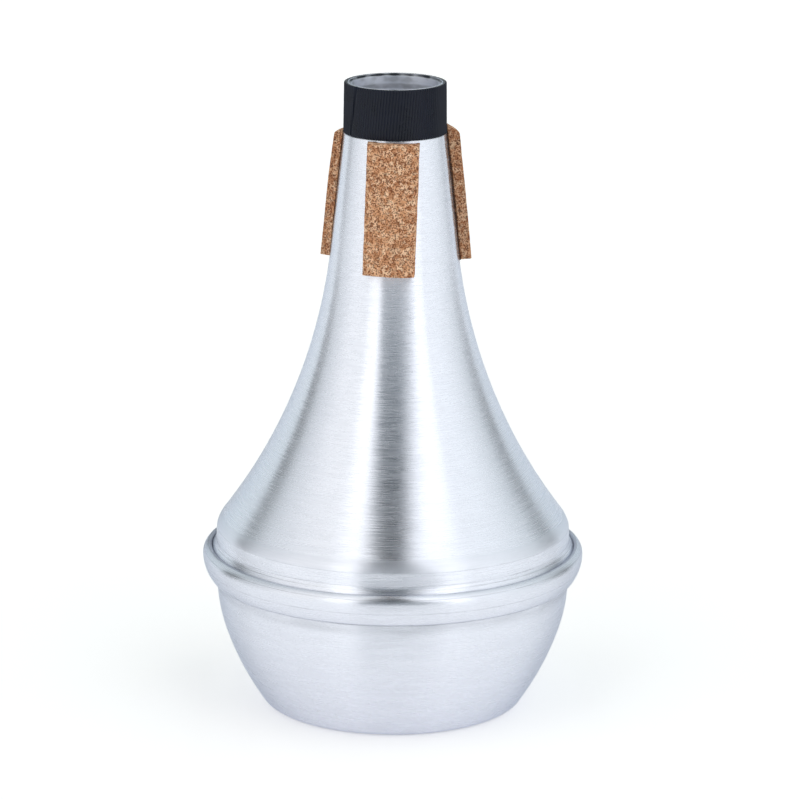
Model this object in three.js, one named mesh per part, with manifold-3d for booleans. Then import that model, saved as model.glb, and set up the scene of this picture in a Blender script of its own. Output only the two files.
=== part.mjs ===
// Trumpet straight mute: two spun aluminium shells joined by a rolled seam, a ribbed sleeve on the end of the
// neck and three cork strips glued to the taper below it.
// Millimetres, +Z up. The axis is Z, the flat base stands on z = 0 and the front cork faces -Y.

import * as THREE from "three";
import * as BufferGeometryUtils from "three/addons/utils/BufferGeometryUtils.js";
import Module from "manifold-3d";

const wasm = await Module();
wasm.setup();

// Both shells are spun from the same sheet, with play between them in the seam
const sheetThickness = 0.9;
const seamClearance = 0.15;

// Rolled bead: the bowl's edge turned out on a ledge, carried up a long flank and rolled in over the flange.
// Every angle here is a lean from upright, in degrees.
const beadRadius = 52.5;
const beadFlankRadius = 10;
const beadFlankLean = 37.2;
const beadTopWidth = 2;
const hookBendRadius = 0.65;

// Base bowl: a flat floor, a corner, two long curves and a short straight collar up to the bead's ledge.
// The leans are those of the wall where one curve passes into the next.
const ledgeWidth = 1.87;
const collarHeight = 0.8;
const bowlUpperRadius = 44;
const bowlMiddleLean = 18.8;
const bowlLowerRadius = 80;
const bowlCornerLean = 34.7;
const baseCornerRadius = 3.2;

// Bell shell: a flange caught in the bead, an upright shoulder, a flared cone, a straight taper and a neck
const flangeRise = 0.6;
const flangeFilletRadius = 0.9;
const shoulderHeight = 4.3;
const shoulderCornerRadius = 2.5;
const flareRadius = 147.3;
const taperLean = 6.2;
const taperLength = 33;
const neckSeatRadius = 12.95;
const neckSeatLength = 13.9;
const neckStep = 0.95;
const neckStepRounding = 0.3;

// Sleeve on the neck seat, a little thicker at its lower edge
const sleeveClearance = 0.1;
const sleeveTopWall = 0.95;
const sleeveLowerWall = 1.1;
const sleeveRimGap = 0.45;
const sleeveEdgeRounding = 0.3;

// Cork strips at equal turns, and the films of contact cement under them
const corkPlaces = ["front", "rear_right", "rear_left"];
const corkWidth = 14;
const corkLength = 34.4;
const corkThickness = 2.7;
const corkTopGap = 0.3;
const glueThickness = 0.3;
const glueClearance = 0.1;
const glueMargin = 0.2;
const cutOverrun = 1;

// Counts of flat steps that stand for the round forms
const turnSteps = 48;
const longArcSteps = 5;
const flareSteps = 11;
const shortArcSteps = 3;
const stripSteps = 5;

const degrees = THREE.MathUtils.degToRad;

// Points of an arc in the radius and height plane, from one angle to another
function arc(centre, radius, from, to, steps) {
  const points = [];
  for (let step = 0; step <= steps; step += 1) {
    const angle = from + ((to - from) * step) / steps;
    points.push(new THREE.Vector2(centre.x + radius * Math.cos(angle), centre.y + radius * Math.sin(angle)));
  }
  return points;
}

// The unit vector to the right of the way from one point to the next
function rightOf(start, end) {
  const way = end.clone().sub(start).normalize();
  return new THREE.Vector2(way.y, -way.x);
}

// The same path moved sideways by a distance, to its left, with mitred corners
function offsetPath(path, distance) {
  return path.map((point, index) => {
    const before = index > 0 ? rightOf(path[index - 1], point) : rightOf(point, path[index + 1]);
    const after = index < path.length - 1 ? rightOf(point, path[index + 1]) : before;
    const mitre = before.clone().add(after);
    mitre.multiplyScalar(-distance / (1 + before.dot(after)));
    return point.clone().add(mitre);
  });
}

// A solid of revolution about Z. The outline starts and ends on the axis, or closes on itself.
function turned(outline) {
  const geometry = new THREE.LatheGeometry(outline, turnSteps);
  geometry.rotateX(Math.PI / 2);
  return geometry;
}

function solidOf(geometry) {
  const bare = geometry.clone();
  bare.deleteAttribute("normal");
  bare.deleteAttribute("uv");
  const merged = BufferGeometryUtils.mergeVertices(bare);
  const vertProperties = new Float32Array(merged.attributes.position.array);
  const triVerts = new Uint32Array(merged.index.array);
  return new wasm.Manifold(new wasm.Mesh({ numProp: 3, vertProperties, triVerts }));
}

function geometryOf(solid) {
  const mesh = solid.getMesh();
  const geometry = new THREE.BufferGeometry();
  geometry.setAttribute("position", new THREE.BufferAttribute(new Float32Array(mesh.vertProperties), 3));
  geometry.setIndex(new THREE.BufferAttribute(new Uint32Array(mesh.triVerts), 1));
  geometry.computeVertexNormals();
  return geometry;
}

// Centres of the bowl's curves, first set out from the collar down and then raised to stand on the base
const flankLean = degrees(beadFlankLean);
const flankCentreRadius = beadRadius - beadFlankRadius;
const ledgeOuterRadius = flankCentreRadius + beadFlankRadius * Math.cos(flankLean);
const bowlWallRadius = ledgeOuterRadius - ledgeWidth;

function bowlCurves() {
  const cornerLean = degrees(bowlCornerLean);
  const middleLean = degrees(bowlMiddleLean);
  const upperCentre = new THREE.Vector2(bowlWallRadius - bowlUpperRadius, 0);
  const lowerCentre = new THREE.Vector2(
    upperCentre.x - (bowlLowerRadius - bowlUpperRadius) * Math.cos(middleLean),
    upperCentre.y + (bowlLowerRadius - bowlUpperRadius) * Math.sin(middleLean),
  );
  const cornerCentre = new THREE.Vector2(
    lowerCentre.x + (bowlLowerRadius - baseCornerRadius) * Math.cos(cornerLean),
    lowerCentre.y - (bowlLowerRadius - baseCornerRadius) * Math.sin(cornerLean),
  );
  const rise = baseCornerRadius - cornerCentre.y;
  for (const centre of [upperCentre, lowerCentre, cornerCentre]) {
    centre.y += rise;
  }
  return { cornerLean, middleLean, upperCentre, lowerCentre, cornerCentre };
}

// The bead's places, from its ledge up to the raw edge. The roll goes round the bell's hook.
const curves = bowlCurves();
const ledgeHeight = curves.upperCentre.y + collarHeight;
const beadHeight = ledgeHeight + beadFlankRadius * Math.sin(flankLean);
const flankCentre = new THREE.Vector2(flankCentreRadius, beadHeight);
const hookRadius = hookBendRadius + sheetThickness;
const beadTopRadius = hookRadius + seamClearance + sheetThickness;
const beadCentre = new THREE.Vector2(beadRadius - beadTopRadius, beadHeight);
const beadEdgeRadius = beadRadius - beadTopWidth;
const beadEdgeAngle = Math.acos((beadEdgeRadius - beadCentre.x) / beadTopRadius);
const beadEdgeHeight = beadHeight + beadTopRadius * Math.sin(beadEdgeAngle);

// Bowl: its outer face from the middle of the base to the edge that lies on the flange
function bowlPath() {
  return [
    new THREE.Vector2(0, 0),
    ...arc(curves.cornerCentre, baseCornerRadius, -Math.PI / 2, -curves.cornerLean, shortArcSteps),
    ...arc(curves.lowerCentre, bowlLowerRadius, -curves.cornerLean, -curves.middleLean, longArcSteps).slice(1),
    ...arc(curves.upperCentre, bowlUpperRadius, -curves.middleLean, 0, longArcSteps).slice(1),
    new THREE.Vector2(bowlWallRadius, ledgeHeight),
    ...arc(flankCentre, beadFlankRadius, -flankLean, 0, longArcSteps),
    ...arc(beadCentre, beadTopRadius, 0, beadEdgeAngle, longArcSteps).slice(1),
  ];
}

function baseBowl() {
  const outer = bowlPath();
  const inner = offsetPath(outer, sheetThickness);
  inner[0].x = 0;
  return turned([...outer, ...inner.reverse()]);
}

// Bell: radii and heights from the flange to the rim. The flat of the flange is as wide as the sheet is thick.
const edgeGap = seamClearance * 2;
const flangeRadius = beadEdgeRadius - edgeGap;
const flangeHeight = beadEdgeHeight + flangeRise;
const shoulderRadius = flangeRadius - sheetThickness - flangeFilletRadius;
const shoulderTop = flangeHeight + flangeFilletRadius + shoulderHeight;
const taperAngle = degrees(taperLean);
const neckStepRadius = neckSeatRadius + neckStep;
const flareEndRadius = neckStepRadius + taperLength * Math.tan(taperAngle);
const shoulderCentre = new THREE.Vector2(shoulderRadius - shoulderCornerRadius, shoulderTop);
const flareCentreRadius = flareEndRadius + flareRadius * Math.cos(taperAngle);
const shoulderLean = Math.acos((flareCentreRadius - shoulderCentre.x) / (flareRadius + shoulderCornerRadius));
const flareCentre = new THREE.Vector2(
  flareCentreRadius,
  shoulderTop + (flareRadius + shoulderCornerRadius) * Math.sin(shoulderLean),
);
const flareEndHeight = flareCentre.y - flareRadius * Math.sin(taperAngle);
const stepHeight = flareEndHeight + taperLength;
const rimRadius = sheetThickness / 2;
const rimHeight = stepHeight + neckSeatLength - rimRadius;

// The bell's outer radius at a height on the taper or the flare
function bellRadiusAt(height) {
  if (height >= flareEndHeight) {
    return flareEndRadius - (height - flareEndHeight) * Math.tan(taperAngle);
  }
  return flareCentre.x - Math.sqrt(flareRadius ** 2 - (flareCentre.y - height) ** 2);
}

// The bell's face from the neck down to the end of the skirt that stands inside the bead. The corner of the
// neck's step is rounded on the outer face and sharp on the inner one.
function bellPath(stepCorner) {
  const skirtRadius = beadFlankRadius - sheetThickness - seamClearance;
  const skirtEnd = ledgeHeight + sheetThickness + seamClearance;
  const skirtAngle = Math.asin((beadHeight - skirtEnd) / skirtRadius);
  const filletCentre = new THREE.Vector2(shoulderRadius + flangeFilletRadius, flangeHeight + flangeFilletRadius);
  return [
    new THREE.Vector2(neckSeatRadius, rimHeight),
    new THREE.Vector2(neckSeatRadius, stepHeight),
    ...stepCorner,
    new THREE.Vector2(flareEndRadius, flareEndHeight),
    ...arc(flareCentre, flareRadius, Math.PI + taperAngle, Math.PI + shoulderLean, flareSteps).slice(1),
    ...arc(shoulderCentre, shoulderCornerRadius, shoulderLean, 0, shortArcSteps).slice(1),
    ...arc(filletCentre, flangeFilletRadius, Math.PI, Math.PI * 1.5, shortArcSteps),
    new THREE.Vector2(flangeRadius, beadEdgeHeight),
    ...arc(beadCentre, hookRadius, beadEdgeAngle + edgeGap / hookRadius, 0, shortArcSteps),
    ...arc(flankCentre, skirtRadius, 0, -skirtAngle, shortArcSteps).slice(1),
  ];
}

function bellShell() {
  const roundCentre = new THREE.Vector2(neckStepRadius - neckStepRounding, stepHeight - neckStepRounding);
  const outer = bellPath(arc(roundCentre, neckStepRounding, Math.PI / 2, 0, shortArcSteps)).reverse();
  const inner = offsetPath(bellPath([new THREE.Vector2(neckStepRadius, stepHeight)]), -sheetThickness);
  const rimCentre = new THREE.Vector2(neckSeatRadius - rimRadius, rimHeight);
  const rim = arc(rimCentre, rimRadius, 0, Math.PI, shortArcSteps + 1).slice(1, -1);
  return turned([...outer, ...rim, ...inner, outer[0]]);
}

function neckSleeve() {
  const bore = neckSeatRadius + sleeveClearance;
  const lower = stepHeight + sleeveClearance;
  const upper = rimHeight + rimRadius - sleeveRimGap;
  const outline = [
    new THREE.Vector2(bore, lower),
    new THREE.Vector2(bore + sleeveLowerWall, lower),
    new THREE.Vector2(bore + sleeveTopWall, upper - sleeveEdgeRounding),
    new THREE.Vector2(bore + sleeveTopWall - sleeveEdgeRounding, upper),
    new THREE.Vector2(bore, upper),
    new THREE.Vector2(bore, lower),
  ];
  return turned(outline);
}

// A strip that follows the bell at a distance from its face, cut from a ring by two upright saw cuts
function strip(inset, thickness, width, bottom, top) {
  const inner = [];
  for (let step = 0; step <= stripSteps; step += 1) {
    const height = bottom + ((top - bottom) * step) / stripSteps;
    inner.push(new THREE.Vector2(bellRadiusAt(height) + inset, height));
  }
  const outer = inner.map((point) => new THREE.Vector2(point.x + thickness, point.y));
  const reach = outer[0].x + cutOverrun;
  const ring = turned([...outer, ...inner.reverse(), outer[0]]);
  const box = new THREE.BoxGeometry(width, reach, top - bottom + cutOverrun * 2);
  box.translate(0, -reach / 2, (top + bottom) / 2);
  return geometryOf(solidOf(ring).intersect(solidOf(box)));
}

const corkTop = stepHeight - corkTopGap;
const corkBottom = corkTop - corkLength;
const corkInset = glueThickness + glueClearance * 2;

function corkStrip() {
  return strip(corkInset, corkThickness, corkWidth, corkBottom, corkTop);
}

function glueFilm() {
  return strip(glueClearance, glueThickness, corkWidth - glueMargin * 2, corkBottom + glueMargin, corkTop - glueMargin);
}

function finish(color, roughness, metalness) {
  return new THREE.MeshStandardMaterial({ color, roughness, metalness });
}

function piece(name, geometry, material) {
  const mesh = new THREE.Mesh(geometry, material);
  mesh.name = name;
  return mesh;
}

const mute = new THREE.Group();
mute.add(piece("bell_shell", bellShell(), finish(0xd3d8e0, 0.32, 1)));
mute.add(piece("base_bowl", baseBowl(), finish(0xd6dbe3, 0.36, 1)));
mute.add(piece("neck_sleeve", neckSleeve(), finish(0x26282f, 0.6, 0)));

corkPlaces.forEach((name, index) => {
  const place = new THREE.Group();
  place.rotation.z = (Math.PI * 2 * index) / corkPlaces.length;
  place.add(piece(`cork_glue_${name}`, glueFilm(), finish(0x3b2b20, 0.5, 0)));
  place.add(piece(`cork_${name}`, corkStrip(), finish(0xbb8e70, 0.85, 0)));
  mute.add(place);
});

export default mute;
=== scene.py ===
import math

import bmesh
import bpy
from mathutils import Matrix, Vector, noise


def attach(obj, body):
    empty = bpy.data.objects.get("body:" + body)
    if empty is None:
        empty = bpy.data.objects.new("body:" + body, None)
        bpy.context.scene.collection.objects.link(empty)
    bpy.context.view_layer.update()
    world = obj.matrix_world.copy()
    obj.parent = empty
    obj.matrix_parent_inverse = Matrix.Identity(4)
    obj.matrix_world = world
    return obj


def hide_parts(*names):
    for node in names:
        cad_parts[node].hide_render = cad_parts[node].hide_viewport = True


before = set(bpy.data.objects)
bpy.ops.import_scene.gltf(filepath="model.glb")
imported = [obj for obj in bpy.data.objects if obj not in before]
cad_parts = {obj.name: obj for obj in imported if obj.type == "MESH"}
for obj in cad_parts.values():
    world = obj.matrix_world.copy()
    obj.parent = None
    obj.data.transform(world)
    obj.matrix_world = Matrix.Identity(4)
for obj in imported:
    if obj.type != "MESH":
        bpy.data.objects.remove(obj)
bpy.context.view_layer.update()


# The camera stands a little over a metre away and looks down at the mute, turned a few degrees to the right
# of the front cork. It is a long lens, so the picture is almost free of perspective.
MM = 0.001
image_width = 800
focal_length_pixels = 4190
sensor_width_mm = 36
camera_distance = 1150 * MM
aim_height = 85.1 * MM
axis_left_of_centre = 1.75 * MM
camera_pitch = math.radians(14.6)
camera_turn = math.radians(3.3)
camera_roll = math.radians(0.34)

camera_data = bpy.data.cameras.new("camera")
camera_data.sensor_width = sensor_width_mm
camera_data.lens = focal_length_pixels / image_width * sensor_width_mm
camera = bpy.data.objects.new("camera", camera_data)
bpy.context.scene.collection.objects.link(camera)
camera_back = camera_distance * math.cos(camera_pitch)
camera_up = aim_height + camera_distance * math.sin(camera_pitch)
camera.matrix_world = (
    Matrix.Rotation(camera_turn, 4, "Z")
    @ Matrix.Translation((axis_left_of_centre, -camera_back, camera_up))
    @ Matrix.Rotation(math.pi / 2 - camera_pitch, 4, "X")
    @ Matrix.Rotation(camera_roll, 4, "Z")
)
bpy.context.scene.camera = camera


# Base bowl: a disc of soft aluminium spun over a former into a flat-bottomed bowl. Its edge is turned out on
# a narrow ledge, carried up the long flank of the bead and rolled in over the bell's flange, which holds the
# two shells together without solder or screws.
sheet_thickness = 0.9 * MM
seam_clearance = 0.15 * MM
bead_radius = 52.5 * MM
bead_flank_radius = 10 * MM
bead_flank_lean = math.radians(37.2)
hook_bend_radius = 0.65 * MM
ledge_width = 1.87 * MM
collar_height = 0.8 * MM
bowl_upper_radius = 44 * MM
bowl_middle_lean = math.radians(18.8)
bowl_lower_radius = 80 * MM
bowl_corner_lean = math.radians(34.7)
base_corner_radius = 3.2 * MM
crest_angle = math.radians(71.6)
raw_edge_radius = 50.05 * MM
raw_edge_height = 44.32 * MM
turn_steps = 192
corner_steps = 10
long_curve_steps = 16
flank_steps = 14
crest_steps = 16
merge_distance = 0.001 * MM


def arc(centre, radius, start, end, steps):
    """Points of a bend in the plane of radius and height."""
    angles = [start + (end - start) * step / steps for step in range(steps + 1)]
    return [(centre[0] + radius * math.cos(a), centre[1] + radius * math.sin(a)) for a in angles]


def linear(colour):
    """An sRGB hex colour as the linear one that a shader takes."""
    channels = [int(colour[place:place + 2], 16) / 255 for place in (1, 3, 5)]
    return [c / 12.92 if c <= 0.04045 else ((c + 0.055) / 1.055) ** 2.4 for c in channels] + [1]


def add_node(tree, kind, settings=None, links=None):
    """Adds a node, sets its properties and its input values, and links other nodes to its inputs."""
    node = tree.nodes.new(kind)
    for key, value in (settings or {}).items():
        if isinstance(key, str) and hasattr(node, key):
            setattr(node, key, value)
        else:
            node.inputs[key].default_value = value
    for key, socket in (links or {}).items():
        tree.links.new(socket, node.inputs[key])
    return node


def blank_material(name):
    """A new material with an empty node tree."""
    material = bpy.data.materials.new(name)
    material.use_nodes = True
    material.node_tree.nodes.clear()
    return material


def mesh_object(bm, name):
    """Ends the editing of a mesh and puts it in the scene as an object."""
    mesh = bpy.data.meshes.new(name)
    bm.to_mesh(mesh)
    bm.free()
    piece = bpy.data.objects.new(name, mesh)
    bpy.context.scene.collection.objects.link(piece)
    return piece


def spun_sheet(name, outline):
    """Turns the outer face's outline round Z and gives it the sheet's thickness inwards."""
    bm = bmesh.new()
    verts = [bm.verts.new((radius, 0, height)) for radius, height in outline]
    edges = [bm.edges.new(pair) for pair in zip(verts[:-1], verts[1:])]
    bmesh.ops.spin(
        bm, geom=verts + edges, cent=(0, 0, 0), axis=(0, 0, 1),
        angle=2 * math.pi, steps=turn_steps, use_merge=True,
    )
    bmesh.ops.remove_doubles(bm, verts=bm.verts, dist=merge_distance)
    bmesh.ops.recalc_face_normals(bm, faces=bm.faces)
    widest = max(bm.faces, key=lambda face: face.calc_center_median().xy.length)
    if widest.normal.xy.dot(widest.calc_center_median().xy) < 0:
        bmesh.ops.reverse_faces(bm, faces=bm.faces)
    bmesh.ops.solidify(bm, geom=list(bm.faces), thickness=sheet_thickness)
    for face in bm.faces:
        face.smooth = True
    piece = mesh_object(bm, name)
    piece.modifiers.new("even shading", "WEIGHTED_NORMAL")
    return piece


def spun_aluminium(name, light, dark, grazing, residue, rings):
    """Soft aluminium sheet, brushed with fine abrasive while it turned on the spinning lathe. The scratches
    run round the axis, so a reflection stays crisp across them and is drawn out up and down the wall. Grey
    polishing residue in the deeper scratches scatters a little light. Real scratches are a few hundredths
    of a millimetre apart, and these are as coarse as they need to be to show. The inside faces are painted
    dark grey in patches, and the rings are dark grey lines: painted shade in the hollow neck and in creases,
    grooves and bends, partly polishing residue and tool marks."""
    scratch_pitch = 0.14 * MM
    scratches_around = 6
    scratch_contrast = 6
    band_pitch = 1.6 * MM
    bands_around = 5
    band_contrast = 3
    polish = 0.26
    scratch_spread = 0.03
    band_spread = 0.03
    lathe_wobble = 0.02
    inside_facing = -0.3
    inside_dullness = 0.32
    inside_evenness = 0.3
    # The inside faces and the rings are painted towards a dark grey: painted shade, partly polishing residue.
    inside_unmarked_share = 0.3
    inside_shade_and_residue = 0.22
    shade_and_residue_grey = "#3c4046"
    ring_wander = 0.16 * MM
    ring_waves_around = 7
    ring_waves_apart = 9.0
    ring_core_share = 0.3
    ring_faintest = 0.65
    ring_strongest = 1.25
    shoulder_foot = 49.94 * MM
    shoulder_head = 53.15 * MM
    shoulder_fade = 0.1 * MM
    shoulder_dullness = 0.05
    material = blank_material(name)
    tree = material.node_tree
    place = add_node(tree, "ShaderNodeTexCoord").outputs["Object"]
    height = add_node(tree, "ShaderNodeSeparateXYZ", {}, {0: place}).outputs["Z"]
    flat = add_node(tree, "ShaderNodeVectorMath", {"operation": "MULTIPLY", 1: (1, 1, 0)}, {0: place})
    reach = add_node(tree, "ShaderNodeVectorMath", {"operation": "LENGTH"}, {0: flat.outputs[0]})
    heading = add_node(tree, "ShaderNodeVectorMath", {"operation": "NORMALIZE"}, {0: flat.outputs[0]})
    section = add_node(tree, "ShaderNodeCombineXYZ", {}, {"X": reach.outputs["Value"], "Z": height})
    facing = add_node(tree, "ShaderNodeNewGeometry").outputs["Normal"]
    outward = add_node(
        tree, "ShaderNodeVectorMath", {"operation": "DOT_PRODUCT"}, {0: facing, 1: heading.outputs[0]},
    )
    inside = add_node(
        tree, "ShaderNodeMapRange", {"From Min": 0, "From Max": inside_facing},
        {"Value": outward.outputs["Value"]},
    ).outputs[0]

    patterns = []
    for pitch, count, contrast in (
        (scratch_pitch, scratches_around, scratch_contrast), (band_pitch, bands_around, band_contrast),
    ):
        around = add_node(
            tree, "ShaderNodeVectorMath", {"operation": "SCALE", "Scale": count}, {0: heading.outputs[0]},
        )
        climb = add_node(
            tree, "ShaderNodeVectorMath", {"operation": "MULTIPLY", 1: (0, 0, 1 / pitch)}, {0: place},
        )
        spot = add_node(
            tree, "ShaderNodeVectorMath", {"operation": "ADD"}, {0: around.outputs[0], 1: climb.outputs[0]},
        )
        across = add_node(
            tree, "ShaderNodeMath", {"operation": "MULTIPLY", 1: 1 / pitch}, {0: reach.outputs["Value"]},
        )
        pattern = add_node(
            tree, "ShaderNodeTexNoise", {"noise_dimensions": "4D", "Scale": 1.0, "Detail": 0.5},
            {"Vector": spot.outputs[0], "W": across.outputs[0]},
        )
        patterns.append(add_node(
            tree, "ShaderNodeMapRange",
            {"From Min": 0.5 - 0.5 / contrast, "From Max": 0.5 + 0.5 / contrast},
            {"Value": pattern.outputs["Fac"]},
        ).outputs[0])
    scratches, bands = patterns

    waves = add_node(
        tree, "ShaderNodeVectorMath", {"operation": "SCALE", "Scale": ring_waves_around},
        {0: heading.outputs[0]},
    )
    # Painted shade, partly residue: the inside faces go dark grey in patches, and each ring adds a dark grey
    # line.
    shade_and_residue = add_node(
        tree, "ShaderNodeMapRange", {"From Min": inside_unmarked_share, "To Max": inside_shade_and_residue},
        {"Value": bands},
    )
    shade_and_residue = add_node(tree, "ShaderNodeMath", {"operation": "MULTIPLY"}, {0: shade_and_residue.outputs[0], 1: inside})
    shade_and_residue = shade_and_residue.outputs[0]
    for index, ring in enumerate(rings):
        away = add_node(
            tree, "ShaderNodeVectorMath", {"operation": "DISTANCE", 1: (ring["radius"], 0, ring["height"])},
            {0: section.outputs[0]},
        )
        wander = add_node(
            tree, "ShaderNodeTexNoise",
            {"noise_dimensions": "4D", "Scale": 1.0, "Detail": 2.0, "W": index * ring_waves_apart},
            {"Vector": waves.outputs[0]},
        )
        wander = add_node(
            tree, "ShaderNodeMapRange",
            {"From Min": 0.3, "From Max": 0.7, "To Min": -ring_wander / 2, "To Max": ring_wander / 2},
            {"Value": wander.outputs["Fac"]},
        )
        away = add_node(
            tree, "ShaderNodeMath", {"operation": "ADD"}, {0: away.outputs["Value"], 1: wander.outputs[0]},
        )
        mark = add_node(
            tree, "ShaderNodeMapRange",
            {"interpolation_type": "SMOOTHSTEP", "From Min": ring["half_width"],
             "From Max": ring["half_width"] * ring_core_share, "To Max": ring["darkness"]},
            {"Value": away.outputs[0]},
        )
        shade_and_residue = add_node(
            tree, "ShaderNodeMath", {"operation": "MAXIMUM"}, {0: mark.outputs[0], 1: shade_and_residue},
        ).outputs[0]
    # The painted shade and residue in the rings are patchy along the bands.
    wear = add_node(
        tree, "ShaderNodeMapRange", {"To Min": ring_faintest, "To Max": ring_strongest}, {"Value": bands},
    )
    shade_and_residue = add_node(
        tree, "ShaderNodeMath", {"operation": "MULTIPLY"}, {0: shade_and_residue, 1: wear.outputs[0]},
    ).outputs[0]

    sheen = add_node(
        tree, "ShaderNodeMixRGB", {"Color1": linear(dark), "Color2": linear(light)}, {"Fac": scratches},
    )
    colour = add_node(
        tree, "ShaderNodeMixRGB", {"Color2": linear(shade_and_residue_grey)}, {"Fac": shade_and_residue, "Color1": sheen.outputs[0]},
    )

    under = add_node(
        tree, "ShaderNodeMapRange",
        {"From Min": shoulder_head + shoulder_fade, "From Max": shoulder_head - shoulder_fade},
        {"Value": height},
    )
    over = add_node(
        tree, "ShaderNodeMapRange",
        {"From Min": shoulder_foot - shoulder_fade, "From Max": shoulder_foot + shoulder_fade},
        {"Value": height},
    )
    shoulder = add_node(
        tree, "ShaderNodeMath", {"operation": "MULTIPLY"}, {0: under.outputs[0], 1: over.outputs[0]},
    )
    gloss = add_node(
        tree, "ShaderNodeMapRange",
        {"To Min": polish - scratch_spread / 2, "To Max": polish + scratch_spread / 2}, {"Value": scratches},
    )
    evenness = add_node(
        tree, "ShaderNodeMapRange", {"To Min": 1, "To Max": inside_evenness}, {"Value": inside},
    )
    bare_metal = add_node(
        tree, "ShaderNodeMapRange", {"To Min": 1 - residue, "To Max": 1}, {"Value": scratches},
    )
    spreads = ((bands, band_spread), (shoulder.outputs[0], shoulder_dullness), (inside, inside_dullness))
    for share, spread in spreads:
        gloss = add_node(
            tree, "ShaderNodeMath", {"operation": "MULTIPLY_ADD", 1: spread}, {0: share, 2: gloss.outputs[0]},
        )

    brushed_way = add_node(
        tree, "ShaderNodeVectorMath", {"operation": "CROSS_PRODUCT", 0: (0, 0, 1)}, {1: heading.outputs[0]},
    )
    sway = add_node(
        tree, "ShaderNodeMapRange", {"To Min": -lathe_wobble / 2, "To Max": lathe_wobble / 2},
        {"Value": scratches},
    )
    swayed = add_node(
        tree, "ShaderNodeVectorMath", {"operation": "SCALE"},
        {0: brushed_way.outputs[0], "Scale": sway.outputs[0]},
    )
    leaned = add_node(
        tree, "ShaderNodeVectorMath", {"operation": "ADD"}, {0: facing, 1: swayed.outputs[0]},
    )
    swayed_normal = add_node(tree, "ShaderNodeVectorMath", {"operation": "NORMALIZE"}, {0: leaned.outputs[0]})
    # The grazing tint darkens glancing reflections: partly the brushed metal's own, partly painted shade on
    # the sides, most on the bowl.
    metal = add_node(
        tree, "ShaderNodeBsdfPrincipled",
        {"Anisotropic Rotation": 0.25, "Specular Tint": linear(grazing)},
        {
            "Base Color": colour.outputs[0],
            "Metallic": bare_metal.outputs[0],
            "Anisotropic": evenness.outputs[0],
            "Roughness": gloss.outputs[0],
            "Normal": swayed_normal.outputs[0],
            "Tangent": brushed_way.outputs[0],
        },
    )
    add_node(tree, "ShaderNodeOutputMaterial", {}, {"Surface": metal.outputs[0]})
    return material


flank_centre_radius = bead_radius - bead_flank_radius
ledge_outer_radius = flank_centre_radius + bead_flank_radius * math.cos(bead_flank_lean)
bowl_wall_radius = ledge_outer_radius - ledge_width
upper_centre_radius = bowl_wall_radius - bowl_upper_radius
curve_step = bowl_lower_radius - bowl_upper_radius
corner_step = bowl_lower_radius - base_corner_radius
lower_centre_radius = upper_centre_radius - curve_step * math.cos(bowl_middle_lean)
corner_centre_radius = lower_centre_radius + corner_step * math.cos(bowl_corner_lean)
lower_centre_height = base_corner_radius + corner_step * math.sin(bowl_corner_lean)
upper_centre_height = lower_centre_height - curve_step * math.sin(bowl_middle_lean)
ledge_height = upper_centre_height + collar_height
bead_height = ledge_height + bead_flank_radius * math.sin(bead_flank_lean)
hook_radius = hook_bend_radius + sheet_thickness
bead_top_radius = hook_radius + seam_clearance + sheet_thickness
bead_centre_radius = bead_radius - bead_top_radius

corner_centre = (corner_centre_radius, base_corner_radius)
lower_centre = (lower_centre_radius, lower_centre_height)
upper_centre = (upper_centre_radius, upper_centre_height)
flank_centre = (flank_centre_radius, bead_height)
bead_centre = (bead_centre_radius, bead_height)
bowl_outline = [
    (0, 0),
    (corner_centre_radius / 2, 0),
    *arc(corner_centre, base_corner_radius, -math.pi / 2, -bowl_corner_lean, corner_steps),
    *arc(lower_centre, bowl_lower_radius, -bowl_corner_lean, -bowl_middle_lean, long_curve_steps)[1:],
    *arc(upper_centre, bowl_upper_radius, -bowl_middle_lean, 0, long_curve_steps)[1:],
    (bowl_wall_radius, ledge_height),
    *arc(flank_centre, bead_flank_radius, -bead_flank_lean, 0, flank_steps),
    *arc(bead_centre, bead_top_radius, 0, crest_angle, crest_steps)[1:],
    (raw_edge_radius, raw_edge_height),
]
# Dark rings painted on the bowl: painted shade under the ledge and below it, and in the seam at the raw edge,
# partly residue. The marks on the crest, bead and flank are fine dark lines, partly tool marks and partly
# painted shade at the bends.
shade_under_ledge = {
    "radius": bowl_wall_radius, "height": upper_centre_height + collar_height / 2,
    "half_width": 0.5 * MM, "darkness": 0.6,
}
ledge_shade = {
    "radius": bowl_wall_radius, "height": upper_centre_height - 0.5 * MM,
    "half_width": 3 * MM, "darkness": 0.13,
}
raw_edge_shade = {
    "radius": raw_edge_radius, "height": raw_edge_height, "half_width": 0.16 * MM, "darkness": 0.12,
}
crest_mark_angle = crest_angle * 0.93
crest_mark = {
    "radius": bead_centre_radius + bead_top_radius * math.cos(crest_mark_angle),
    "height": bead_height + bead_top_radius * math.sin(crest_mark_angle),
    "half_width": 0.12 * MM, "darkness": 0.18,
}
bead_mark = {"radius": 52.1 * MM, "height": 43.55 * MM, "half_width": 0.14 * MM, "darkness": 0.22}
flank_mark = {"radius": 52.2 * MM, "height": 39.7 * MM, "half_width": 0.16 * MM, "darkness": 0.2}
bowl = spun_sheet("bowl_spinning", bowl_outline)
# The bowl's darker grazing tint is partly painted shade on its sides.
bowl.data.materials.append(spun_aluminium(
    "bowl_spun_aluminium", light="#e8ebf5", dark="#e5e8f2", grazing="#c8ccd4", residue=0.06,
    rings=[shade_under_ledge, ledge_shade, raw_edge_shade, crest_mark, bead_mark, flank_mark],
))
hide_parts("base_bowl")
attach(bowl, "root")


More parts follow.
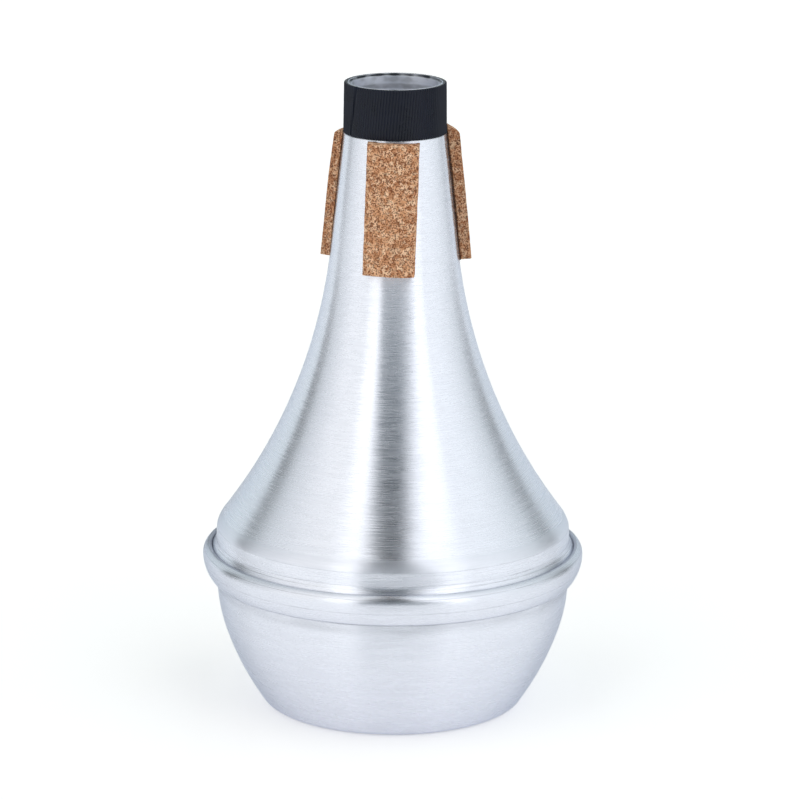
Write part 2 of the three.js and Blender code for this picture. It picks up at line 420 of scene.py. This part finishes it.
# Bell shell: a second spinning of the same sheet. It opens from a stepped neck through a straight taper and a
# long flare to an upright shoulder. Its flange drops into the bowl's rolled bead, where a hook and a skirt
# stand on the ledge.
foot_radius = 49.1 * MM
foot_height = 45.4 * MM
groove_radius = 49.85 * MM
wall_foot_radius = 48.77 * MM
wall_foot_height = 46.36 * MM
wall_top_radius = 48.61 * MM
wall_top_height = 49.94 * MM
shoulder_radius = 46.93 * MM
shoulder_height = 53.15 * MM
shoulder_bulge = 0.19 * MM
flare_radius = 152.5 * MM
taper_lean = math.radians(6.2)
taper_length = 33 * MM
neck_seat_radius = 12.95 * MM
neck_seat_length = 13.9 * MM
neck_step = 0.95 * MM
neck_step_height = 159.84 * MM
hidden_hook_radius = 1.4 * MM
counterbore_depth = 0.65 * MM
counterbore_width = 0.3 * MM
counterbore_rounding = 0.065 * MM
rim_rounding = 0.2 * MM
rim_rounding_steps = 3
flare_steps = 44
wall_steps = 8
hook_steps = 6

rim_height = neck_step_height + neck_seat_length
neck_step_radius = neck_seat_radius + neck_step
flare_end_radius = neck_step_radius + taper_length * math.tan(taper_lean)
flare_end_height = neck_step_height - taper_length
skirt_radius = bead_flank_radius - sheet_thickness - seam_clearance
skirt_angle = math.asin((bead_height - ledge_height - sheet_thickness - seam_clearance) / skirt_radius)


def arc_through(start, end, radius, steps):
    """Points of a bend of a known radius between two points, hollow on the outer side."""
    start, end = Vector(start), Vector(end)
    half = (end - start) / 2
    rise = math.sqrt(radius ** 2 - half.length ** 2)
    outward = Vector((-half.y, half.x)).normalized()
    centre = start + half + outward * rise * (1 if outward.x > 0 else -1)
    first = math.atan2(*(start - centre).yx) % (2 * math.pi)
    last = math.atan2(*(end - centre).yx) % (2 * math.pi)
    return arc(centre, radius, first, last, steps)


def bulged(start, end, bulge, steps):
    """Points of a line between two points that swells outwards by a small amount halfway."""
    start, end = Vector(start), Vector(end)
    swell = Vector((start.y - end.y, end.x - start.x)).normalized() * bulge
    shares = [step / steps for step in range(steps + 1)]
    return [tuple(start.lerp(end, share) + swell * 4 * share * (1 - share)) for share in shares]


shoulder = (shoulder_radius, shoulder_height)
bell_outline = [
    (neck_seat_radius, rim_height),
    (neck_seat_radius, rim_height - counterbore_depth),
    (neck_seat_radius, rim_height - counterbore_depth - counterbore_rounding),
    (neck_seat_radius, neck_step_height),
    (neck_step_radius, neck_step_height),
    *arc_through((flare_end_radius, flare_end_height), shoulder, flare_radius, flare_steps),
    *bulged(shoulder, (wall_top_radius, wall_top_height), shoulder_bulge, wall_steps)[1:],
    (wall_foot_radius, wall_foot_height),
    (foot_radius, foot_height),
    (groove_radius, raw_edge_height),
    *arc(bead_centre, hidden_hook_radius, math.pi / 2, 0, hook_steps),
    *arc(flank_centre, skirt_radius, 0, -skirt_angle, hook_steps)[1:],
]
bell = spun_sheet("bell_spinning", bell_outline)
bm = bmesh.new()
bm.from_mesh(bell.data)
inner_rim_radius = neck_seat_radius - sheet_thickness
counterbore_bottom = rim_height - counterbore_depth - counterbore_rounding / 2
for vert in bm.verts:
    if vert.co.z > counterbore_bottom and vert.co.xy.length < inner_rim_radius + counterbore_width / 2:
        vert.co.xy = vert.co.xy.normalized() * (inner_rim_radius + counterbore_width)
rim_edges = [
    edge for edge in bm.edges
    if all(vert.co.z > rim_height - rim_rounding / 2 for vert in edge.verts)
    and abs(edge.verts[0].co.xy.length - edge.verts[1].co.xy.length) < rim_rounding / 4
]
bmesh.ops.bevel(
    bm, geom=rim_edges, offset=rim_rounding, segments=rim_rounding_steps, profile=0.5, affect="EDGES",
    material=-1,
)
for face in bm.faces:
    face.smooth = True
bm.to_mesh(bell.data)
bm.free()
# Dark rings painted on the bell: painted shade in the fillet and the seam groove, partly residue, and on the
# counterbore's wall and deep inside the neck. The marks at the wall's foot and top and on the rim are fine
# dark lines, partly tool marks and partly painted shade.
fillet_foot_shade = {"radius": foot_radius, "height": foot_height, "half_width": 0.2 * MM, "darkness": 0.2}
seam_groove_shade = {
    "radius": groove_radius, "height": raw_edge_height, "half_width": 0.2 * MM, "darkness": 0.12,
}
wall_foot_mark = {
    "radius": wall_foot_radius, "height": wall_foot_height, "half_width": 0.12 * MM, "darkness": 0.22,
}
wall_top_mark = {
    "radius": wall_top_radius, "height": wall_top_height, "half_width": 0.14 * MM, "darkness": 0.15,
}
rim_mark = {
    "radius": inner_rim_radius + sheet_thickness / 2, "height": rim_height,
    "half_width": 0.25 * MM, "darkness": 0.1,
}
counterbore_shade = {
    "radius": inner_rim_radius + counterbore_width, "height": rim_height - counterbore_depth / 2,
    "half_width": counterbore_depth * 0.8, "darkness": 1.0,
}
inner_shade = {
    "radius": inner_rim_radius, "height": rim_height - 3.4 * MM, "half_width": 1.0 * MM, "darkness": 0.4,
}
bell.data.materials.append(spun_aluminium(
    "bell_spun_aluminium", light="#eef1fb", dark="#eaedf7", grazing="#cdd2da", residue=0.24,
    rings=[
        fillet_foot_shade, seam_groove_shade, wall_foot_mark, wall_top_mark, rim_mark, counterbore_shade, inner_shade,
    ],
))
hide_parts("bell_shell")
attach(bell, "root")


# Neck sleeve: black rubber, moulded in one piece and stretched over the stepped-down end of the neck, down to
# the step. Its outer face has fine steep ribs, a little askew, that give the fingers a grip, and a slanted
# groove where the mould closed, one lip of it a little proud.
sleeve_clearance = 0.1 * MM
sleeve_top_wall = 0.8 * MM
sleeve_lower_wall = 0.95 * MM
sleeve_rim_gap = 0.04 * MM
sleeve_edge_rounding = 0.3 * MM
sleeve_rounding_steps = 4
sleeve_height_cuts = 8
rib_count = 112
rib_depth = 0.26 * MM
rib_slant = math.radians(5)
points_in_rib = 6
mould_line_head = math.radians(-46.5)
mould_line_foot = math.radians(-57)
mould_line_depth = 0.3 * MM
mould_line_half_width = math.radians(2.6)
mould_step = 0.1 * MM
mould_step_width = math.radians(35)

sleeve_bore = neck_seat_radius + sleeve_clearance
sleeve_bottom = neck_step_height + sleeve_clearance
sleeve_top = rim_height - sleeve_rim_gap
sleeve_lower_radius = sleeve_bore + sleeve_lower_wall
sleeve_upper_radius = sleeve_bore + sleeve_top_wall
lower_rounding = (sleeve_lower_radius - sleeve_edge_rounding, sleeve_bottom + sleeve_edge_rounding)
upper_rounding = (sleeve_upper_radius - sleeve_edge_rounding, sleeve_top - sleeve_edge_rounding)
sleeve_section = [
    (sleeve_bore, sleeve_bottom),
    *arc(lower_rounding, sleeve_edge_rounding, -math.pi / 2, 0, sleeve_rounding_steps),
    *arc(upper_rounding, sleeve_edge_rounding, 0, math.pi / 2, sleeve_rounding_steps),
    (sleeve_bore, sleeve_top),
]

bm = bmesh.new()
verts = [bm.verts.new((radius, 0, height)) for radius, height in sleeve_section]
edges = [bm.edges.new(pair) for pair in zip(verts, verts[1:] + verts[:1])]
outer_edge = next(
    edge for edge in edges
    if abs(edge.verts[0].co.z - edge.verts[1].co.z) > sleeve_edge_rounding
    and edge.verts[0].co.x > sleeve_bore + sleeve_edge_rounding
)
bmesh.ops.subdivide_edges(bm, edges=[outer_edge], cuts=sleeve_height_cuts)
bmesh.ops.spin(
    bm, geom=list(bm.verts) + list(bm.edges), cent=(0, 0, 0), axis=(0, 0, 1),
    angle=2 * math.pi, steps=rib_count * points_in_rib, use_merge=True,
)
bmesh.ops.remove_doubles(bm, verts=bm.verts, dist=merge_distance)
bmesh.ops.recalc_face_normals(bm, faces=bm.faces)
line_layer = bm.verts.layers.float.new("mould_line")
for vert in bm.verts:
    angle = math.atan2(vert.co.y, vert.co.x)
    radius = vert.co.xy.length
    if radius > sleeve_bore + sleeve_edge_rounding:
        radius -= rib_depth * abs(math.sin(rib_count * angle / 2))
    turn = angle + math.tan(rib_slant) * (vert.co.z - sleeve_bottom) / sleeve_lower_radius
    line_angle = mould_line_foot + (mould_line_head - mould_line_foot) * (
        (vert.co.z - sleeve_bottom) / (sleeve_top - sleeve_bottom)
    )
    from_front = math.atan2(math.cos(turn), -math.sin(turn))
    past_line = from_front - line_angle
    vert[line_layer] = max(0, 1 - abs(past_line) / mould_line_half_width)
    if radius > sleeve_bore + sleeve_edge_rounding:
        radius -= mould_line_depth * vert[line_layer]
        radius += mould_step * max(0, 1 + past_line / mould_step_width) * (past_line < 0)
    vert.co.xy = (radius * math.cos(turn), radius * math.sin(turn))
sleeve = mesh_object(bm, "ribbed_sleeve")

# Moulded rubber: black with a soft sheen, a little dusty and uneven where it was handled.
rubber = blank_material("moulded_black_rubber")
tree = rubber.node_tree
place = add_node(tree, "ShaderNodeTexCoord").outputs["Object"]
rubber_grain = 0.25 * MM
handling_patch = 6 * MM
grain = add_node(tree, "ShaderNodeTexNoise", {"Scale": 1 / rubber_grain, "Detail": 3.0}, {"Vector": place})
patches = add_node(
    tree, "ShaderNodeTexNoise", {"Scale": 1 / handling_patch, "Detail": 2.0}, {"Vector": place},
)
colour = add_node(
    tree, "ShaderNodeMixRGB", {"Color1": linear("#12161f"), "Color2": linear("#1b2132")},
    {"Fac": patches.outputs["Fac"]},
)
gloss = add_node(
    tree, "ShaderNodeMapRange", {"To Min": 0.23, "To Max": 0.34}, {"Value": patches.outputs["Fac"]},
)
relief = add_node(
    tree, "ShaderNodeBump", {"Strength": 0.4, "Distance": 0.02 * MM}, {"Height": grain.outputs["Fac"]},
)
# The mould line's groove reflects far less and so reads as a dark line: painted shade in the groove.
groove = add_node(tree, "ShaderNodeAttribute", {"attribute_name": "mould_line"})
groove_dimmed_specular = add_node(
    tree, "ShaderNodeMapRange", {"To Min": 0.24, "To Max": 0.04}, {"Value": groove.outputs["Fac"]},
)
body = add_node(
    tree, "ShaderNodeBsdfPrincipled", {},
    {"Base Color": colour.outputs[0], "Roughness": gloss.outputs[0], "Normal": relief.outputs[0],
     "Specular IOR Level": groove_dimmed_specular.outputs[0]},
)
add_node(tree, "ShaderNodeOutputMaterial", {}, {"Surface": body.outputs[0]})
sleeve.data.materials.append(rubber)
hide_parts("neck_sleeve")
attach(sleeve, "root")


# Contact cement: a film brushed on the bell and on the back of each cork strip, dried to a dark brown rubber.
# It fills what lies between them, and its ragged edge shows as a dark line beside the cork. Where it spills
# out beside a strip, the dark brown band is partly cement and partly painted shade beside the cork.
cork_width = 14 * MM
cork_length = 34.4 * MM
cork_top_gap = 0.3 * MM
glue_thickness = 0.3 * MM
glue_margin = 0.2 * MM
glue_cell = 0.5 * MM
glue_raggedness = 0.35 * MM
glue_wave = 1.2 * MM

cork_top = neck_step_height - cork_top_gap
# Each strip was cut and stuck on by hand: how thick it is and how much thinner at its top, how far its middle
# bows off the metal, how much longer it is above and below, how many degrees it leans, how much of its upper
# outer corner is worn away, how far the dark cement band beside it reaches, partly cement squeezed out and
# partly painted shade, how much darker its sawn sides are, partly cement they took up and partly painted
# shade, and where in the noise its pits, waves and ragged edges are read.
strips = [
    {"node": "front", "turn": 0, "thickness": 2.9 * MM, "thinner": 0, "bow": 0, "above": 0,
     "below": 0.85 * MM, "lean": 1.4, "wear": 0.5 * MM, "spill_and_shade": 0, "stained_and_shaded": 0.05, "seed": 3},
    {"node": "rear_right", "turn": 120, "thickness": 3.2 * MM, "thinner": -0.1 * MM, "bow": 0.15 * MM,
     "above": 1.9 * MM, "below": 0.8 * MM, "lean": 0, "wear": 2.6 * MM, "spill_and_shade": 0.6 * MM,
     "stained_and_shaded": 0.27, "seed": 17},
    {"node": "rear_left", "turn": 240, "thickness": 2.9 * MM, "thinner": 0.5 * MM, "bow": 0,
     "above": 0.4 * MM, "below": 0.25 * MM, "lean": 0, "wear": 1.2 * MM, "spill_and_shade": 0.15 * MM,
     "stained_and_shaded": 0.15, "seed": 29},
]
thinning_length = 12 * MM


def bell_radius_at(height):
    """The bell's outer radius at a height on its taper or its flare."""
    if height > flare_end_height:
        return flare_end_radius - (height - flare_end_height) * math.tan(taper_lean)
    drop = flare_end_height - height
    return flare_end_radius + drop * math.tan(taper_lean) + drop ** 2 / (2 * flare_radius)


def diced_block(width, thickness, length, cell):
    """A block whose faces are cut into small squares, standing on end, its back face at depth zero."""
    bm = bmesh.new()
    bmesh.ops.create_cube(bm, size=1)
    bmesh.ops.translate(bm, vec=(0, -0.5, 0), verts=bm.verts)
    bmesh.ops.scale(bm, vec=(width, thickness, length), verts=bm.verts)
    for axis, size in enumerate((width, thickness, length)):
        along = [edge for edge in bm.edges if abs((edge.verts[0].co - edge.verts[1].co)[axis]) > cell]
        bmesh.ops.subdivide_edges(bm, edges=along, cuts=max(1, round(size / cell)), use_grid_fill=True)
    bm.normal_update()
    return bm


def wrapped(bm, name, strip, top, length):
    """Bends a flat strip round the bell at its place, bowed off the metal halfway, and makes it an object."""
    lean = Matrix.Rotation(math.radians(strip["lean"]), 3, "Y")
    turn = Matrix.Rotation(math.radians(strip["turn"]), 3, "Z")
    for vert in bm.verts:
        bow = strip["bow"] * (1 - (2 * vert.co.z / length) ** 2) * min(1, -vert.co.y / glue_thickness)
        flat = lean @ vert.co
        height = top - length / 2 + flat.z
        reach = bell_radius_at(height) + bow - flat.y
        vert.co = turn @ Vector((flat.x, -math.sqrt(reach ** 2 - flat.x ** 2), height))
    bmesh.ops.recalc_face_normals(bm, faces=bm.faces)
    for face in bm.faces:
        face.smooth = True
    return mesh_object(bm, name)


# Dried contact cement: a lumpy brown skin, lighter where it lies thin.
cement = blank_material("dried_contact_cement")
tree = cement.node_tree
place = add_node(tree, "ShaderNodeTexCoord").outputs["Object"]
cement_speck = 0.5 * MM
specks = add_node(tree, "ShaderNodeTexNoise", {"Scale": 1 / cement_speck, "Detail": 3.0}, {"Vector": place})
colour = add_node(
    tree, "ShaderNodeMixRGB", {"Color1": linear("#3d2417"), "Color2": linear("#85583b")},
    {"Fac": add_node(
        tree, "ShaderNodeMapRange", {"From Min": 0.5, "From Max": 0.72}, {"Value": specks.outputs["Fac"]},
    ).outputs[0]},
)
relief = add_node(
    tree, "ShaderNodeBump", {"Strength": 0.8, "Distance": 0.1 * MM}, {"Height": specks.outputs["Fac"]},
)
body = add_node(
    tree, "ShaderNodeBsdfPrincipled", {"Roughness": 0.6, "Specular IOR Level": 0.2},
    {"Base Color": colour.outputs[0], "Normal": relief.outputs[0]},
)
add_node(tree, "ShaderNodeOutputMaterial", {}, {"Surface": body.outputs[0]})

for strip in strips:
    above = min(strip["above"], cork_top_gap)
    length = cork_length + above + strip["below"] - glue_margin * 2
    bm = diced_block(cork_width - glue_margin * 2, glue_thickness, length, glue_cell)
    for vert in bm.verts:
        spot = Vector((vert.co.x, vert.co.z, strip["seed"] * glue_wave)) / glue_wave
        ragged = glue_raggedness * noise.noise(spot)
        # The film spills out beside each strip: a dark brown band, partly cement and partly painted shade
        # beside the cork.
        if abs(abs(vert.co.x) - cork_width / 2 + glue_margin) < glue_cell / 4:
            vert.co.x += math.copysign(ragged + strip["spill_and_shade"], vert.co.x)
        if abs(abs(vert.co.z) - length / 2) < glue_cell / 4:
            vert.co.z += math.copysign(ragged, vert.co.z)
    film = wrapped(bm, "cement_film_" + strip["node"], strip, cork_top + above - glue_margin, length)
    film.data.materials.append(cement)
    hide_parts("cork_glue_" + strip["node"])
    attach(film, "root")


# Cork strips: three strips sawn from a block of pressed cork granules, about 3 mm thick, bent round the taper
# and stuck on by hand. The granules crumble at the cut, so the faces are pitted and the corners ragged.
cork_cell = 0.24 * MM
granule_size = 0.95 * MM
granule_bend = granule_size * 1.3
fleck_size = 1.7 * MM
pit_size = 0.38 * MM
pit_depth = 0.18 * MM
pit_contrast = 2
pit_rarity = 0.45
cork_waviness = 0.12 * MM
cork_wave = 5 * MM
crumbled_width = cork_cell * 1.5
crumbling_sweeps = 2
worn_thickness_share = 0.1

# Pressed cork: rounded granules of several browns, pale flecks of inner bark, and dark specks and pits where
# granules broke out of the cut. The pits and the sawn sides are painted dark brown: painted shade in the
# pits, and on the sides partly cement and partly painted shade. It is dull from every side.
cork = blank_material("pressed_cork")
tree = cork.node_tree
place = add_node(tree, "ShaderNodeTexCoord").outputs["Object"]
bend = add_node(tree, "ShaderNodeTexNoise", {"Scale": 1 / granule_size, "Detail": 2.0}, {"Vector": place})
bent = add_node(
    tree, "ShaderNodeVectorMath", {"operation": "MULTIPLY_ADD", 1: (granule_bend,) * 3},
    {0: bend.outputs["Color"], 2: place},
)
granules = add_node(tree, "ShaderNodeTexVoronoi", {"Scale": 1 / granule_size}, {"Vector": bent.outputs[0]})
granule_tones = add_node(tree, "ShaderNodeValToRGB", {}, {"Fac": granules.outputs["Color"]})
ramp = granule_tones.color_ramp
ramp.elements[0].position = 0.12
ramp.elements[0].color = linear("#ba7e57")
ramp.elements[1].position = 0.88
ramp.elements[1].color = linear("#fdd5b0")
ramp.elements.new(0.45).color = linear("#e0a57a")
flecks = add_node(
    tree, "ShaderNodeTexNoise", {"Scale": 1 / fleck_size, "Detail": 3.0}, {"Vector": bent.outputs[0]},
)
fleck_share = add_node(
    tree, "ShaderNodeMapRange", {"From Min": 0.54, "From Max": 0.66, "To Max": 0.75},
    {"Value": flecks.outputs["Fac"]},
)
flecked = add_node(
    tree, "ShaderNodeMixRGB", {"Color2": linear("#f3cda9")},
    {"Fac": fleck_share.outputs[0], "Color1": granule_tones.outputs[0]},
)
specks = add_node(tree, "ShaderNodeTexNoise", {"Scale": 1 / pit_size, "Detail": 3.0}, {"Vector": place})
speck_share = add_node(
    tree, "ShaderNodeMapRange", {"From Min": 0.51, "From Max": 0.57, "To Max": 0.95},
    {"Value": specks.outputs["Fac"]},
)
specked = add_node(
    tree, "ShaderNodeMixRGB", {"Color2": linear("#7c4529")},
    {"Fac": speck_share.outputs[0], "Color1": flecked.outputs[0]},
)
# The pit attribute paints the pits and the sawn sides dark brown: painted shade in the pits, and on the sides
# partly cement and partly painted shade.
pits = add_node(tree, "ShaderNodeAttribute", {"attribute_name": "pit"})
colour = add_node(
    tree, "ShaderNodeMixRGB", {"Color2": linear("#4a2516")},
    {"Fac": pits.outputs["Fac"], "Color1": specked.outputs[0]},
)
relief = add_node(
    tree, "ShaderNodeBump", {"Strength": 0.8, "Distance": 0.1 * MM, "invert": True},
    {"Height": specks.outputs["Fac"]},
)
body = add_node(
    tree, "ShaderNodeBsdfPrincipled", {"Roughness": 0.85, "Specular IOR Level": 0.3},
    {"Base Color": colour.outputs[0], "Normal": relief.outputs[0]},
)
add_node(tree, "ShaderNodeOutputMaterial", {}, {"Surface": body.outputs[0]})

for strip in strips:
    length = cork_length + strip["above"] + strip["below"]
    thickness = strip["thickness"]
    bm = diced_block(cork_width, thickness, length, cork_cell)
    pit_and_side_shade_layer = bm.verts.layers.float.new("pit")
    corners = [
        vert for vert in bm.verts
        if (abs(vert.co.x) > cork_width / 2 - crumbled_width)
        + (abs(vert.co.y + thickness / 2) > thickness / 2 - crumbled_width)
        + (abs(vert.co.z) > length / 2 - crumbled_width) > 1
    ]
    seed = Vector((0, 0, strip["seed"]))
    for vert in bm.verts:
        wave = noise.noise(vert.co / cork_wave + seed) * cork_waviness
        pit = max(0, noise.noise(vert.co / pit_size + seed) * pit_contrast - pit_rarity)
        sawn = abs(vert.co.x) > cork_width / 2 - cork_cell / 2
        # Sawn sides darker: partly cement they took up, partly painted shade, most on the rear right strip.
        vert[pit_and_side_shade_layer] = min(1, pit + strip["stained_and_shaded"] * sawn)
        worn = min(1, (length / 2 - vert.co.z + cork_cell) / strip["wear"])
        kept = worn_thickness_share + (1 - worn_thickness_share) * math.sin(math.pi / 2 * worn)
        vert.co += vert.normal * (wave - min(1, pit) * pit_depth)
        vert.co.y = max(vert.co.y, -thickness * kept)
        thinned = max(0, 1 - (length / 2 - vert.co.z) / thinning_length)
        vert.co.y *= 1 - strip["thinner"] / thickness * thinned
    for _ in range(crumbling_sweeps):
        bmesh.ops.smooth_vert(
            bm, verts=corners, factor=0.5, use_axis_x=True, use_axis_y=True, use_axis_z=True,
        )
    bmesh.ops.translate(bm, vec=(0, -glue_thickness, 0), verts=bm.verts)
    piece = wrapped(bm, "cork_strip_" + strip["node"], strip, cork_top + strip["above"], length)
    piece.data.materials.append(cork)
    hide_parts("cork_" + strip["node"])
    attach(piece, "root")


# Floor and light: a sheet of white paper, a white backdrop, and two tall soft boxes that flank the camera and
# almost meet overhead. The dark room shows between them as the dark stripe down the middle of the metal.
floor_size = 8.0
floor_lift = 0.25
bm = bmesh.new()
bmesh.ops.create_grid(bm, x_segments=1, y_segments=1, size=floor_size / 2)
floor = mesh_object(bm, "floor")

# White paper: matt, and lifted to white for the camera and in reflections while its shadow stays.
paper = blank_material("white_paper")
tree = paper.node_tree
ray = add_node(tree, "ShaderNodeLightPath")
seen = add_node(
    tree, "ShaderNodeMath", {"operation": "ADD"},
    {0: ray.outputs["Is Camera Ray"], 1: ray.outputs["Is Glossy Ray"]},
)
seen = add_node(
    tree, "ShaderNodeMath", {"operation": "ADD"}, {0: seen.outputs[0], 1: ray.outputs["Is Transmission Ray"]},
)
lift = add_node(tree, "ShaderNodeMath", {"operation": "MULTIPLY", 1: floor_lift}, {0: seen.outputs[0]})
sheet = add_node(
    tree, "ShaderNodeBsdfPrincipled",
    {"Base Color": linear("#fcfbfb"), "Roughness": 0.9, "Specular IOR Level": 0.0,
     "Emission Color": (1, 1, 1, 1)},
    {"Emission Strength": lift.outputs[0]},
)
add_node(tree, "ShaderNodeOutputMaterial", {}, {"Surface": sheet.outputs[0]})
floor.data.materials.append(paper)

# What stands round the mute: the angle from the camera in degrees, to the right, how bright it is low down
# and high up, and how much red and blue the light there lacks.
studio = [
    (-180, 0.45, 0.58, 0.09, 0), (-168, 0.33, 0.52, 0.09, 0), (-157, 0.95, 0.62, 0.08, 0),
    (-131, 0.86, 0.86, 0.08, 0), (-124, 0.70, 0.40, 0.08, 0), (-119, 0.02, 0.42, 0.08, 0),
    (-111, 0.14, 0.76, 0.06, 0), (-103, 0.56, 0.86, 0.04, 0), (-92, 0.76, 0.87, 0.02, 0),
    (-70, 1.08, 1.06, 0, 0.02), (-44, 1.08, 1.14, 0, 0.03), (-40, 1.42, 1.48, 0, 0.03),
    (-30, 1.50, 1.50, 0, 0.02), (30, 1.55, 1.50, 0.01, 0), (48, 1.50, 1.50, 0.02, 0),
    (52, 1.13, 1.13, 0.02, 0), (65, 1.14, 1.08, 0.03, 0), (90, 0.93, 1.07, 0.04, 0),
    (108, 0.68, 0.88, 0.06, 0), (117, 0.38, 0.88, 0.08, 0), (128, 0.14, 0.78, 0.08, 0),
    (137, 0.68, 0.64, 0.08, 0), (146, 0.87, 0.68, 0.08, 0), (165, 1.00, 0.74, 0.09, 0),
    (180, 0.45, 0.58, 0.09, 0),
]
# The low levels turn into the high ones, and the slit narrows, with the height of a ray's direction: its
# steepness, from zero for a level ray to one for an upright one.
wall_foot = 0.15
wall_head = 0.65
slit_foot_centre = math.radians(6.3)
slit_head_centre = math.radians(-1.9)
slit_foot_half_width = math.radians(28.6)
slit_head_half_width = math.radians(18.4)
slit_foot_softness = math.radians(4)
slit_head_softness = math.radians(10)
slit_foot_level = 0.18
slit_head_level = 0.0
slit_dark_from = 0.45
slit_dark_to = 0.70
slit_tint = (0.8, 1, 1.13)
world = bpy.data.worlds.new("studio")
world.use_nodes = True
bpy.context.scene.world = world
tree = world.node_tree
tree.nodes.clear()
direction = add_node(tree, "ShaderNodeTexCoord").outputs["Generated"]
turned = add_node(
    tree, "ShaderNodeVectorRotate", {"rotation_type": "Z_AXIS", "Angle": -camera_turn}, {"Vector": direction},
)
part = add_node(tree, "ShaderNodeSeparateXYZ", {}, {0: turned.outputs[0]})
front = add_node(tree, "ShaderNodeMath", {"operation": "MULTIPLY", 1: -1.0}, {0: part.outputs["Y"]})
azimuth = add_node(
    tree, "ShaderNodeMath", {"operation": "ARCTAN2"}, {0: part.outputs["X"], 1: front.outputs[0]},
)
share = add_node(
    tree, "ShaderNodeMapRange", {"From Min": -math.pi, "From Max": math.pi}, {"Value": azimuth.outputs[0]},
)
climb = add_node(tree, "ShaderNodeMath", {"operation": "MAXIMUM", 1: 0.0}, {0: part.outputs["Z"]}).outputs[0]
rings = []
for storey in (1, 2):
    ring = add_node(tree, "ShaderNodeValToRGB", {}, {"Fac": share.outputs[0]})
    stops = ring.color_ramp.elements
    for index, row in enumerate(studio):
        position = (row[0] + 180) / 360
        stop = stops[index] if index < 2 else stops.new(position)
        stop.position = position
        stop.color = (row[storey] * (1 - row[3]), row[storey], row[storey] * (1 - row[4]), 1)
    rings.append(ring.outputs[0])
upper = add_node(
    tree, "ShaderNodeMapRange",
    {"interpolation_type": "SMOOTHSTEP", "From Min": wall_foot, "From Max": wall_head}, {"Value": climb},
)
walls = add_node(
    tree, "ShaderNodeMixRGB", {}, {"Fac": upper.outputs[0], "Color1": rings[0], "Color2": rings[1]},
)

slit_centre = add_node(
    tree, "ShaderNodeMapRange",
    {"From Max": wall_head, "To Min": slit_foot_centre, "To Max": slit_head_centre}, {"Value": climb},
)
slit_half_width = add_node(
    tree, "ShaderNodeMapRange",
    {"From Max": wall_head, "To Min": slit_foot_half_width, "To Max": slit_head_half_width}, {"Value": climb},
).outputs[0]
sideways = add_node(
    tree, "ShaderNodeMath", {"operation": "SUBTRACT"}, {0: azimuth.outputs[0], 1: slit_centre.outputs[0]},
)
sideways = add_node(tree, "ShaderNodeMath", {"operation": "ABSOLUTE"}, {0: sideways.outputs[0]})
slit_softness = add_node(
    tree, "ShaderNodeMapRange",
    {"From Max": wall_head, "To Min": slit_foot_softness, "To Max": slit_head_softness}, {"Value": climb},
).outputs[0]
inner = add_node(tree, "ShaderNodeMath", {"operation": "SUBTRACT"}, {0: slit_half_width, 1: slit_softness})
outer = add_node(tree, "ShaderNodeMath", {"operation": "ADD"}, {0: slit_half_width, 1: slit_softness})
beside_slit = add_node(
    tree, "ShaderNodeMapRange", {"interpolation_type": "SMOOTHSTEP"},
    {"Value": sideways.outputs[0], "From Min": inner.outputs[0], "From Max": outer.outputs[0]},
)
dark_room = add_node(
    tree, "ShaderNodeMapRange",
    {"From Min": slit_dark_from, "From Max": slit_dark_to,
     "To Min": slit_foot_level, "To Max": slit_head_level},
    {"Value": climb},
)
dark_tint = add_node(
    tree, "ShaderNodeVectorMath", {"operation": "SCALE", 0: slit_tint}, {"Scale": dark_room.outputs[0]},
)
sky = add_node(
    tree, "ShaderNodeMixRGB", {},
    {"Fac": beside_slit.outputs[0], "Color1": dark_tint.outputs[0], "Color2": walls.outputs[0]},
)
light = add_node(tree, "ShaderNodeBackground", {"Strength": 1.0}, {"Color": sky.outputs[0]})
add_node(tree, "ShaderNodeOutputWorld", {}, {"Surface": light.outputs[0]})

bpy.context.scene.view_settings.view_transform = "Standard"
